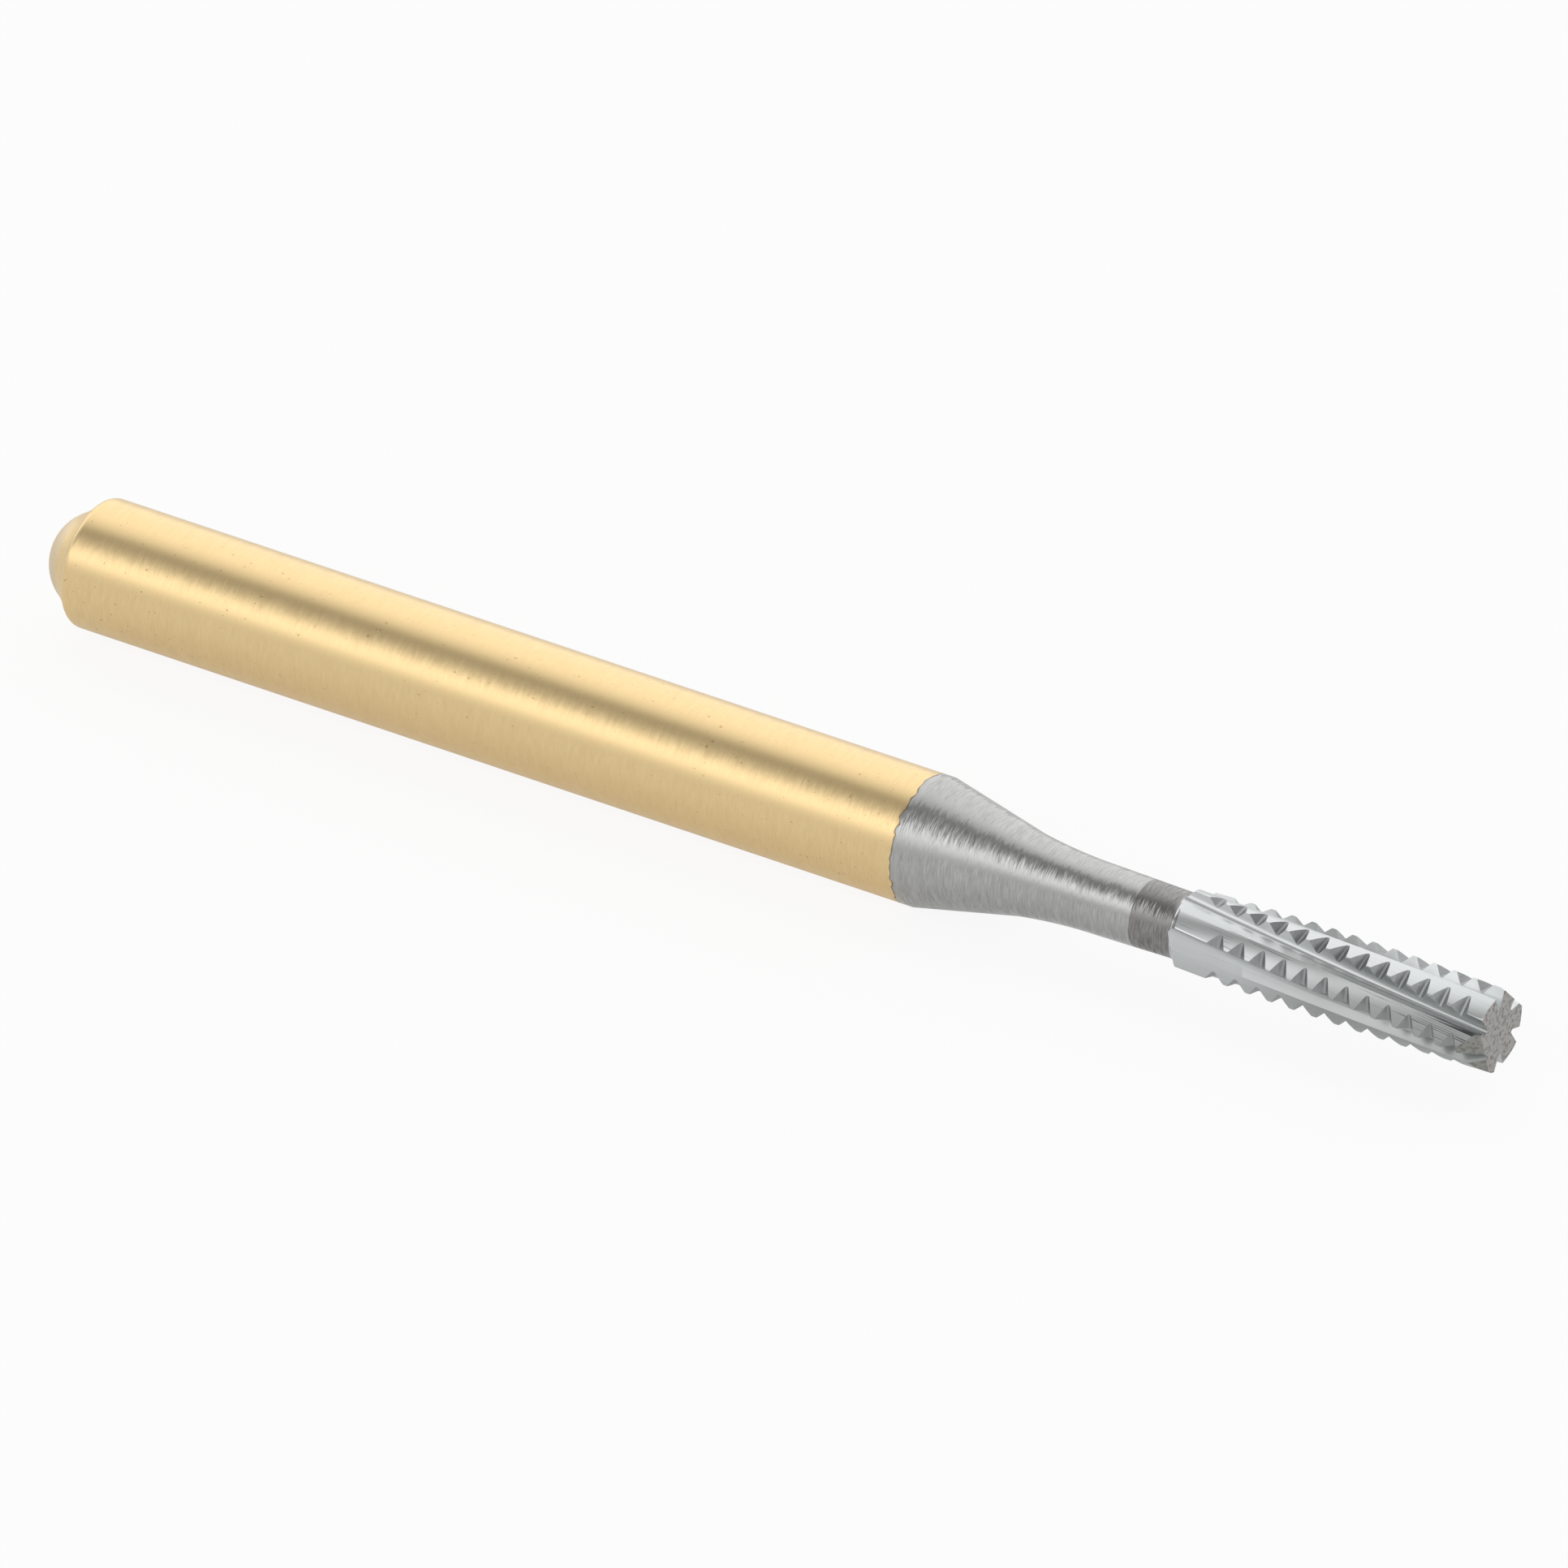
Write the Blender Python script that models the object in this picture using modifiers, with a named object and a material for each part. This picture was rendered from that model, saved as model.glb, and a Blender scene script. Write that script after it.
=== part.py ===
"""Carbide burr for a high-speed handpiece: a gold-plated steel shank with a fluted carbide head.

The burr lies along +X with its cutting head at the +X end. The origin is on the axis, at the
apex of the domed rear end. Both pieces are modelled about their own Z axis and hang from an
empty that lays that axis along +X. All lengths are in metres.
"""
import math

import bmesh
import bpy
from mathutils import Matrix, Vector

MM = 0.001
TINY = 1e-8
ROUND_STEPS = 64
END_ROUND_STEPS = 8
DOME_STEPS = 14
SWEEP_STEPS = 10
FILLET_STEPS = 6
FLOOR_STEPS = 5
FLUTE_STATIONS = 30

# Shank: the gripped cylinder and its domed rear end
SHANK_RADIUS = 0.80 * MM
SHANK_LENGTH = 12.20 * MM
DOME_RADIUS = 0.645 * MM
DOME_EDGE_RADIUS = 0.570 * MM
FLANK_ANGLE = math.radians(40.1)
END_ROUND = 0.115 * MM
END_SWING = math.radians(75.0)

# Neck: a ground cone that sweeps down to a thin stem
CONE_LENGTH = 1.34 * MM
CONE_HALF_ANGLE = math.radians(12.2)
SWEEP_LENGTH = 1.10 * MM
NECK_RADIUS_REAR = 0.427 * MM
NECK_RADIUS_FRONT = 0.408 * MM
NECK_LENGTH = 0.98 * MM

# Butt joint between steel and carbide, measured back from the start of the head
STUB_LENGTH = 0.47 * MM
BRAZE_FILM = 0.010 * MM

# Head: the blank before its flutes are ground
HEAD_LENGTH = 4.37 * MM
HEAD_RADIUS_REAR = 0.542 * MM
HEAD_RADIUS_TIP = 0.523 * MM
HEAD_FILLET = 0.216 * MM
TIP_CHAMFER = 0.012 * MM

# Blades: six of them, right-handed, each with a rake face in front and a two-step back
BLADES = 6
TWIST_PER_MM = math.radians(11.4)
TIP_ANGLE = math.radians(17.5)
FLOOR_RADIUS_REAR = 0.420 * MM
FLOOR_RADIUS_TIP = 0.250 * MM
FLUTE_FLOOR_ROUND = 0.050 * MM
RAKE_ANGLE = math.radians(15.0)
LAND_HEIGHT = 0.004 * MM
BACK_ANGLE = math.radians(27.0)
BACK_WIDTH = 0.185 * MM
FLUTE_OVERRUN = 0.1 * MM

# Cross cuts: notches across every blade, each blade's a step behind the last one's. A notch is a
# V with a narrow flat root, a lip at its mouth rounds the teeth off, and it deepens to the tip.
NOTCH_PITCH = 0.2925 * MM
NOTCH_DEPTH_REAR = 0.092 * MM
NOTCH_DEPTH_TIP = 0.118 * MM
NOTCH_ROOT = 0.030 * MM
NOTCH_HALF_ANGLE = math.radians(42.0)
LIP_DEPTH = 0.018 * MM
LIP_WIDTH = 0.030 * MM
NOTCH_REACH_BACK = 0.26 * MM
NOTCH_REACH_FRONT = 0.12 * MM
NOTCH_CLEARANCE = 0.02 * MM
FIRST_TOOTH = 0.50 * MM
LAST_TOOTH = 0.236 * MM

# Broken teeth: one blade has lost its last tooth, and two are chipped at the tip. Each break is
# a slanting facet, turned from its blade's crest towards the rake face by the lean.
BREAKS = {
    "lost_tooth": {"blade": 3, "lean": 0.0, "length": 0.32 * MM, "depth": 0.175 * MM},
    "rake_chip": {"blade": 5, "lean": math.radians(35.0), "length": 0.20 * MM, "depth": 0.050 * MM},
    "corner_chip": {"blade": 0, "lean": math.radians(25.0), "length": 0.16 * MM, "depth": 0.045 * MM},
}

# Finishes, as linear colours
GOLD = (0.78, 0.56, 0.27)
CARBIDE = (0.36, 0.37, 0.38)


def clear_scene():
    """Removes every object that the scene starts with."""
    for thing in list(bpy.data.objects):
        bpy.data.objects.remove(thing, do_unlink=True)


def make_collection(name):
    """Adds a collection to the scene."""
    collection = bpy.data.collections.new(name)
    bpy.context.scene.collection.children.link(collection)
    return collection


def make_material(name, colour, roughness, metallic):
    """Gives a Principled material of one colour."""
    material = bpy.data.materials.new(name)
    material.use_nodes = True
    shader = material.node_tree.nodes["Principled BSDF"]
    shader.inputs["Base Color"].default_value = (*colour, 1.0)
    shader.inputs["Roughness"].default_value = roughness
    shader.inputs["Metallic"].default_value = metallic
    return material


def arc(centre, radius, start, end, count):
    """Points of a circular arc, angles from +X, as (radius, height) pairs."""
    angles = [start + (end - start) * i / count for i in range(count + 1)]
    return [(centre[0] + radius * math.cos(a), centre[1] + radius * math.sin(a)) for a in angles]


def neck_start():
    """Height at which the swept neck becomes the thin stem."""
    return SHANK_LENGTH + CONE_LENGTH + SWEEP_LENGTH


def head_start():
    """Height at which the head grows out of the neck."""
    return neck_start() + NECK_LENGTH


def tip():
    """Height of the flat end of the burr."""
    return head_start() + HEAD_LENGTH


def joint_height():
    """Height of the butt joint between the steel and the carbide."""
    return head_start() - STUB_LENGTH


def neck_radius(height):
    """Radius of the thin stem at a height."""
    share = (height - neck_start()) / NECK_LENGTH
    return NECK_RADIUS_REAR + (NECK_RADIUS_FRONT - NECK_RADIUS_REAR) * share


def along_head(height, rear, front):
    """A size that changes evenly from the start of the head to the tip."""
    return rear + (front - rear) * (height - head_start()) / HEAD_LENGTH


def head_radius(height):
    """Radius of the head's blank at a height, which narrows a little to the tip."""
    return along_head(height, HEAD_RADIUS_REAR, HEAD_RADIUS_TIP)


def turned(name, profile, collection, material):
    """Turns a profile of (radius, height) pairs, listed from top to bottom, about Z."""
    mesh = bpy.data.meshes.new(name)
    vertices = [(radius, 0.0, height) for radius, height in profile]
    edges = [(i, i + 1) for i in range(len(vertices) - 1)]
    mesh.from_pydata(vertices, edges, [])
    piece = bpy.data.objects.new(name, mesh)
    collection.objects.link(piece)
    screw = piece.modifiers.new("turn", "SCREW")
    screw.axis = "Z"
    screw.steps = ROUND_STEPS
    screw.render_steps = ROUND_STEPS
    screw.use_merge_vertices = True
    screw.merge_threshold = TINY
    mesh.materials.append(material)
    return piece


def rear_profile():
    """The rear end, from the cylinder down to the apex of the dome."""
    dome_edge = math.asin(DOME_EDGE_RADIUS / DOME_RADIUS)
    dome_height = DOME_RADIUS * (1.0 - math.cos(dome_edge))
    round_centre_radius = SHANK_RADIUS - END_ROUND
    crease_radius = round_centre_radius + END_ROUND * math.cos(END_SWING)
    flank_rise = (crease_radius - DOME_EDGE_RADIUS) / math.tan(FLANK_ANGLE)
    round_centre_height = dome_height + flank_rise + END_ROUND * math.sin(END_SWING)
    rounding = arc((round_centre_radius, round_centre_height), END_ROUND,
                   0.0, -END_SWING, END_ROUND_STEPS)
    dome = arc((0.0, DOME_RADIUS), DOME_RADIUS,
               dome_edge - math.pi / 2, -math.pi / 2, DOME_STEPS)
    dome[-1] = (0.0, 0.0)
    return rounding + dome


def neck_profile():
    """The thin stem, the swept part and the cone, from the joint down to the cylinder."""
    cone_top = SHANK_LENGTH + CONE_LENGTH
    cone_radius = SHANK_RADIUS - CONE_LENGTH * math.tan(CONE_HALF_ANGLE)
    drop = cone_radius - NECK_RADIUS_REAR
    sweep = (SWEEP_LENGTH ** 2 + drop ** 2) / (2.0 * drop)
    swing = math.asin(SWEEP_LENGTH / sweep)
    curve = arc((NECK_RADIUS_REAR + sweep, neck_start()), sweep,
                math.pi, math.pi + swing, SWEEP_STEPS)
    curve[-1] = (cone_radius, cone_top)
    top = joint_height() - BRAZE_FILM / 2
    return [(0.0, top), (neck_radius(top), top)] + curve + [(SHANK_RADIUS, SHANK_LENGTH)]


def blank_profile():
    """The head's blank with its stub, from the flat tip down to the joint."""
    bottom = joint_height() + BRAZE_FILM / 2
    rise = HEAD_RADIUS_REAR - NECK_RADIUS_FRONT
    swing = math.acos(1.0 - rise / HEAD_FILLET)
    fillet = arc((NECK_RADIUS_FRONT + HEAD_FILLET, head_start()), HEAD_FILLET,
                 math.pi - swing, math.pi, FILLET_STEPS)
    return [
        (0.0, tip()),
        (head_radius(tip()) - TIP_CHAMFER, tip()),
        (head_radius(tip() - TIP_CHAMFER), tip() - TIP_CHAMFER),
    ] + fillet + [
        (neck_radius(bottom), bottom),
        (0.0, bottom),
    ]


def polar(radius, angle):
    """A point in the section plane."""
    return Vector((radius * math.cos(angle), radius * math.sin(angle)))


def floor_radius(height):
    """Radius of the flutes' floor at a height: they are ground deeper towards the tip."""
    return along_head(height, FLOOR_RADIUS_REAR, FLOOR_RADIUS_TIP)


def flute_section(height):
    """Outline of one flute at a height, from the rake face of a blade at angle 0 to the next back."""
    crest = head_radius(height) + LAND_HEIGHT
    floor = floor_radius(height)
    spacing = 2.0 * math.pi / BLADES
    outside = HEAD_RADIUS_REAR
    rake_top = polar(crest, 0.0)
    rake_along = Vector((-math.cos(RAKE_ANGLE), math.sin(RAKE_ANGLE)))
    half = crest * math.cos(RAKE_ANGLE)
    rake_length = half - math.sqrt(half ** 2 - crest ** 2 + floor ** 2)
    corner = rake_top + rake_along * rake_length
    back_top = polar(crest, spacing)
    back_along = Matrix.Rotation(spacing, 2) @ Vector((-math.sin(BACK_ANGLE), -math.cos(BACK_ANGLE)))
    heel = back_top + back_along * BACK_WIDTH
    rise = (heel - corner).normalized()
    opening = (-rake_along).angle(rise)
    setback = FLUTE_FLOOR_ROUND / math.tan(opening / 2)
    bisector = (rise - rake_along).normalized()
    centre = corner + bisector * (FLUTE_FLOOR_ROUND / math.sin(opening / 2))
    start = corner - rake_along * setback - centre
    end = corner + rise * setback - centre
    swing = start.angle_signed(end)
    floor_round = [centre + Matrix.Rotation(-swing * i / FLOOR_STEPS, 2) @ start
                   for i in range(FLOOR_STEPS + 1)]
    outer_back = back_top - back_along * outside
    outer_rake = rake_top - rake_along * outside
    return [outer_rake, rake_top] + floor_round + [heel, back_top, outer_back]


def twist(height):
    """Angle of the first blade's crest at a height."""
    return TIP_ANGLE + TWIST_PER_MM * (height - tip()) / MM


def flute_cutter(blade, collection):
    """One flute: a loft through its sections up the helix."""
    bottom = head_start() - FLUTE_OVERRUN
    rise = (HEAD_LENGTH + 2.0 * FLUTE_OVERRUN) / FLUTE_STATIONS
    form = bmesh.new()
    rings = []
    for station in range(FLUTE_STATIONS + 1):
        height = bottom + rise * station
        turn = Matrix.Rotation(twist(height) + 2.0 * math.pi * blade / BLADES, 2)
        points = [turn @ point for point in flute_section(height)]
        rings.append([form.verts.new((point.x, point.y, height)) for point in points])
    for lower, upper in zip(rings, rings[1:]):
        for i in range(len(lower)):
            form.faces.new((lower[i - 1], lower[i], upper[i], upper[i - 1]))
    form.faces.new(rings[0])
    form.faces.new(rings[-1])
    return cutter_from(form, f"flute_cutter_{blade}", collection)


def cutter_from(form, name, collection):
    """Makes a hidden cutter of a bmesh."""
    bmesh.ops.recalc_face_normals(form, faces=form.faces)
    mesh = bpy.data.meshes.new(name)
    form.to_mesh(mesh)
    form.free()
    cutter = bpy.data.objects.new(name, mesh)
    cutter.hide_render = True
    cutter.display_type = "WIRE"
    collection.objects.link(cutter)
    return cutter


def notch_heights(blade):
    """Heights of the notches along one blade, from the tip down."""
    highest = tip() - LAST_TOOTH - NOTCH_PITCH * blade / BLADES
    lowest = head_start() + FIRST_TOOTH
    count = int((highest - lowest) / NOTCH_PITCH) + 1
    return [highest - NOTCH_PITCH * i for i in range(count)]


def notch_section(depth):
    """Outline of a notch of one depth, as pairs of a rise above its root and a height."""
    lip = depth - LIP_DEPTH
    flank = NOTCH_ROOT / 2 + lip * math.tan(NOTCH_HALF_ANGLE)
    side = [(0.0, NOTCH_ROOT / 2), (lip, flank), (depth, flank + LIP_WIDTH),
            (depth + NOTCH_CLEARANCE, flank + LIP_WIDTH)]
    return side + [(rise, -height) for rise, height in reversed(side)]


def blade_frame(blade, height):
    """Place on a blade's crest: local X outwards and local Z along the burr's axis."""
    return (Matrix.Rotation(twist(height) + 2.0 * math.pi * blade / BLADES, 4, "Z")
            @ Matrix.Translation((head_radius(height), 0.0, height)))


def notch_cutter(collection):
    """Every notch as a short bar, laid square across its blade."""
    form = bmesh.new()
    for blade in range(BLADES):
        for height in notch_heights(blade):
            depth = along_head(height, NOTCH_DEPTH_REAR, NOTCH_DEPTH_TIP)
            helix = math.atan(head_radius(height) * TWIST_PER_MM / MM)
            place = (blade_frame(blade, height)
                     @ Matrix.Rotation(-helix, 4, "X")
                     @ Matrix.Translation((-depth, 0.0, 0.0)))
            near = [form.verts.new(place @ Vector((rise, -NOTCH_REACH_BACK, along)))
                    for rise, along in notch_section(depth)]
            bar = bmesh.ops.extrude_face_region(form, geom=[form.faces.new(near)])
            moved = [item for item in bar["geom"] if isinstance(item, bmesh.types.BMVert)]
            across = place.to_3x3() @ Vector((0.0, NOTCH_REACH_BACK + NOTCH_REACH_FRONT, 0.0))
            bmesh.ops.translate(form, vec=across, verts=moved)
    return cutter_from(form, "notch_cutter", collection)


def break_cutter(name, blade, lean, length, depth, collection):
    """The lump that has broken off the end of one blade."""
    side = 2.0 * HEAD_RADIUS_TIP
    form = bmesh.new()
    bmesh.ops.create_cube(form, size=side)
    place = (blade_frame(blade, tip())
             @ Matrix.Rotation(lean, 4, "Z")
             @ Matrix.Translation((-depth, 0.0, 0.0))
             @ Matrix.Rotation(-math.atan2(depth, length), 4, "Y")
             @ Matrix.Translation((side / 2, 0.0, 0.0)))
    bmesh.ops.transform(form, matrix=place, verts=form.verts)
    return cutter_from(form, name, collection)


def cut(piece, cutter):
    """Takes a cutter away from a piece."""
    boolean = piece.modifiers.new(cutter.name, "BOOLEAN")
    boolean.operation = "DIFFERENCE"
    boolean.solver = "EXACT"
    boolean.object = cutter


def make_shank(collection, material):
    """The steel shank with its rear dome and its neck."""
    return turned("steel_shank", neck_profile() + rear_profile(), collection, material)


def make_head(collection, cutters, material):
    """The carbide head: a turned blank with its flutes, notches and broken teeth."""
    head = turned("carbide_head", blank_profile(), collection, material)
    cutting = [flute_cutter(blade, cutters) for blade in range(BLADES)]
    cutting.append(notch_cutter(cutters))
    cutting += [break_cutter(name, collection=cutters, **sizes) for name, sizes in BREAKS.items()]
    for cutter in cutting:
        cut(head, cutter)
    return head, cutting


def main():
    """Builds the burr and lays it along +X."""
    clear_scene()
    burr = make_collection("carbide_burr")
    cutters = make_collection("cutters")
    axis = bpy.data.objects.new("burr_axis", None)
    axis.rotation_euler = (math.pi / 2, 0.0, math.pi / 2)
    burr.objects.link(axis)
    shank = make_shank(burr, make_material("gold_plated_steel", GOLD, 0.25, 1.0))
    head, cutting = make_head(burr, cutters, make_material("ground_carbide", CARBIDE, 0.22, 1.0))
    for piece in [shank, head] + cutting:
        piece.parent = axis


main()
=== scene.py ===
"""Looks of a dental carbide burr: a gold-plated steel shank with a ground carbide head.

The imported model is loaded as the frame, and two pieces are dressed over it: the shank, turned
again with a finer outline, and the head, whose flutes, cross cuts and breaks are ground again
finer than in the frame. The burr lies along +X on a white floor, lit by long soft boxes.
"""

import logging
import math
from dataclasses import dataclass
from enum import Enum
from typing import Any, Iterable

import bpy
from mathutils import Matrix, Vector


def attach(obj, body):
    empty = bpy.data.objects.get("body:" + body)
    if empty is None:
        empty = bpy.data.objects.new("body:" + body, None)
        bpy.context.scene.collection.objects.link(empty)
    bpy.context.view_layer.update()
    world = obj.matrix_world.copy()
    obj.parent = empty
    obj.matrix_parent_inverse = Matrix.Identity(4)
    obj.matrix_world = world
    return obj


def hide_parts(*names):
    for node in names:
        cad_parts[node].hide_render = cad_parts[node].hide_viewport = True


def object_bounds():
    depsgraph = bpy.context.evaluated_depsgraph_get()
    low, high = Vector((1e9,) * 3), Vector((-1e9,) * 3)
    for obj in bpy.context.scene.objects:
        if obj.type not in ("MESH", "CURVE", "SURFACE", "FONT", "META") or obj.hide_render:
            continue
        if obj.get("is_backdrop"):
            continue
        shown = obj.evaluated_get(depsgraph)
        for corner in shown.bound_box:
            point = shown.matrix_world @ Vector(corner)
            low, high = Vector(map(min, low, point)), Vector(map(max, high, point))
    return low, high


MM: float = 0.001
TINY: float = 1e-8
BODY: str = "root"

log = logging.getLogger("burr")

Outline = list[tuple[float, float]]


def linear(colour: str) -> tuple[float, float, float, float]:
    """Turns an sRGB hex colour into the linear one that Blender's sockets take.

    Args:
        colour: six hex digits after a hash sign.

    Returns:
        Linear red, green and blue with an alpha of one.
    """
    parts = [int(colour[i:i + 2], 16) / 255.0 for i in (1, 3, 5)]
    red, green, blue = [c / 12.92 if c <= 0.04045 else ((c + 0.055) / 1.055) ** 2.4
                        for c in parts]
    return red, green, blue, 1.0


def add(tree: bpy.types.NodeTree, kind: str, inputs: dict[Any, Any] | None = None,
        **settings: Any) -> bpy.types.Node:
    """Adds one node with its settings and what goes into it.

    Args:
        tree: the node tree of a material or the world.
        kind: the node's type name in Blender.
        inputs: values, or outputs of other nodes, by the name or number of the input.
        settings: the node's own properties by name.

    Returns:
        The new node.
    """
    node = tree.nodes.new(kind)
    for name, value in settings.items():
        setattr(node, name, value)
    for key, value in (inputs or {}).items():
        if isinstance(value, bpy.types.NodeSocket):
            tree.links.new(value, node.inputs[key])
        else:
            node.inputs[key].default_value = value
    return node


def paint_stops(ramp: bpy.types.Node, stops: Iterable[tuple[float, Any]]) -> None:
    """Puts colour stops on a Color Ramp node.

    Args:
        ramp: the node.
        stops: pairs of a position from 0 to 1 and a grey value or a linear colour.
    """
    elements = ramp.color_ramp.elements
    for number, (place, value) in enumerate(stops):
        stop = elements[number] if number < 2 else elements.new(place)
        stop.position = place
        stop.color = value if isinstance(value, tuple) else (value, value, value, 1.0)


def edit(mode: str = "EDIT") -> None:
    """Switches the active object to edit mode, or back with "OBJECT"."""
    bpy.ops.object.mode_set(mode=mode)


def deselect() -> None:
    """Leaves nothing selected, as the frame's own pieces are after loading."""
    bpy.ops.object.select_all(action="DESELECT")


def draw_loop(name: str, corners: list[Vector]) -> bpy.types.Object:
    """Draws a closed wire from corner to corner, out of a single vertex.

    Args:
        name: the new object's name.
        corners: the wire's corners in order.

    Returns:
        The wire, active and in object mode.
    """
    deselect()
    bpy.ops.mesh.primitive_plane_add(size=MM, location=corners[0])
    wire = bpy.context.object
    wire.name = name
    bpy.ops.object.transform_apply(location=True, rotation=True, scale=True)
    edit()
    bpy.ops.mesh.select_all(action="SELECT")
    bpy.ops.mesh.merge(type="CENTER")
    for start, end in zip(corners, corners[1:]):
        bpy.ops.mesh.extrude_vertices_move(TRANSFORM_OT_translate={"value": end - start})
    bpy.ops.mesh.select_all(action="SELECT")
    bpy.ops.mesh.edge_face_add()
    bpy.ops.mesh.delete(type="ONLY_FACE")
    edit("OBJECT")
    return wire


def turned(name: str, outline: Outline, facets: int) -> bpy.types.Object:
    """Turns a solid about the X axis: a disc, extruded and scaled from section to section.

    Args:
        name: the new object's name.
        outline: pairs of a place along the axis and a radius, from the rear to the front.
        facets: how many sides a ring has.

    Returns:
        The closed solid, active and in object mode.
    """
    deselect()
    place, size = outline[0]
    bpy.ops.mesh.primitive_circle_add(
        vertices=facets, radius=size, fill_type="NGON", location=(place, 0.0, 0.0),
        rotation=(0.0, math.pi / 2.0, 0.0))
    solid = bpy.context.object
    solid.name = name
    bpy.ops.object.transform_apply(location=True, rotation=True, scale=True)
    edit()
    bpy.ops.mesh.select_all(action="SELECT")
    for (start, old), (end, new) in zip(outline, outline[1:]):
        bpy.ops.mesh.extrude_region_move(
            TRANSFORM_OT_translate={"value": (end - start, 0.0, 0.0)})
        bpy.ops.transform.resize(value=(1.0, new / old, new / old),
                                 center_override=(end, 0.0, 0.0))
    bpy.ops.mesh.select_all(action="SELECT")
    bpy.ops.mesh.normals_make_consistent(inside=False)
    edit("OBJECT")
    return solid


def joined(pieces: list[bpy.types.Object]) -> bpy.types.Object:
    """Joins pieces into the first of them and gives that one back."""
    deselect()
    for piece in pieces:
        piece.select_set(True)
    bpy.context.view_layer.objects.active = pieces[0]
    bpy.ops.object.join()
    return pieces[0]


def combine(piece: bpy.types.Object, form: bpy.types.Object, operation: str) -> None:
    """Bounds or cuts a piece with a form, which leaves its own finish on the faces it makes.

    Args:
        piece: the piece, which is active and in object mode afterwards.
        form: the form, which is used up.
        operation: "INTERSECT" or "DIFFERENCE".
    """
    deselect()
    piece.select_set(True)
    bpy.context.view_layer.objects.active = piece
    cut = piece.modifiers.new(form.name, "BOOLEAN")
    cut.operation = operation
    cut.solver = "EXACT"
    cut.material_mode = "TRANSFER"
    cut.object = form
    bpy.ops.object.modifier_apply(modifier=cut.name)
    bpy.data.objects.remove(form)


def metal(name: str) -> tuple[bpy.types.Material, bpy.types.Node]:
    """Makes a metallic material.

    Args:
        name: the material's name.

    Returns:
        The material and its shader.
    """
    material = bpy.data.materials.new(name)
    material.use_nodes = True
    shader = material.node_tree.nodes["Principled BSDF"]
    shader.inputs["Metallic"].default_value = 1.0
    return material, shader


def join_up(tree: bpy.types.NodeTree, shader: bpy.types.Node,
            values: dict[str, bpy.types.NodeSocket]) -> None:
    """Links outputs to a shader's inputs by the inputs' names."""
    for name, value in values.items():
        tree.links.new(value, shader.inputs[name])


def wheel_marks(tree: bpy.types.NodeTree, place: bpy.types.NodeSocket, width: float,
                length: float) -> bpy.types.NodeSocket:
    """Draws the short marks that a wheel leaves round the axis of a turning piece.

    Args:
        tree: the material's nodes.
        place: object coordinates.
        width: how wide a mark is along the axis.
        length: how long it is round the axis.

    Returns:
        The marks, from 0 to 1.
    """
    lay = add(tree, "ShaderNodeMapping", {
        "Vector": place, "Scale": (1.0 / width, 1.0 / length, 1.0 / length)})
    marks = add(tree, "ShaderNodeTexNoise", {
        "Vector": lay.outputs[0], "Scale": 1.0, "Detail": 2.0, "Roughness": 0.6})
    return add(tree, "ShaderNodeMapRange", {
        "Value": marks.outputs["Fac"], "From Min": 0.32, "From Max": 0.68}).outputs[0]


def tilted(tree: bpy.types.NodeTree, marks: bpy.types.NodeSocket,
           most: float) -> bpy.types.NodeSocket:
    """Tilts the surface round the axis, each mark by its own amount.

    Args:
        tree: the material's nodes.
        marks: from 0 to 1.
        most: the largest tilt either way, as a slope.

    Returns:
        The tilted normal.
    """
    skin = add(tree, "ShaderNodeNewGeometry").outputs["Normal"]
    aside = add(tree, "ShaderNodeVectorMath", {0: (1.0, 0.0, 0.0), 1: skin},
                operation="CROSS_PRODUCT")
    slope = add(tree, "ShaderNodeMapRange", {"Value": marks, "To Min": -most, "To Max": most})
    push = add(tree, "ShaderNodeVectorMath", {0: aside.outputs[0], "Scale": slope.outputs[0]},
               operation="SCALE")
    leaning = add(tree, "ShaderNodeVectorMath", {0: push.outputs[0], 1: skin}, operation="ADD")
    return add(tree, "ShaderNodeVectorMath", {0: leaning.outputs[0]},
               operation="NORMALIZE").outputs[0]


class Region(Enum):
    """Faces of the head, by how each was made."""

    STUB = "ground round with the neck"
    END = "parted off"
    LAND = "left of the blank"
    FLUTE = "ground along the helix"
    NOTCH = "cut across a blade"
    BREAK = "broken off"


@dataclass(frozen=True)
class Break:
    """A lump that has broken off the end of a blade, leant from its crest to the rake face."""

    blade: int
    lean: float
    length: float
    depth: float


# The tooth that is missing at the tip, a chip off a rake face and a chip off a corner.
BREAKS: tuple[Break, ...] = (
    Break(3, 0.0, 0.32 * MM, 0.175 * MM),
    Break(5, math.radians(35.0), 0.20 * MM, 0.050 * MM),
    Break(0, math.radians(25.0), 0.16 * MM, 0.045 * MM),
)


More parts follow.
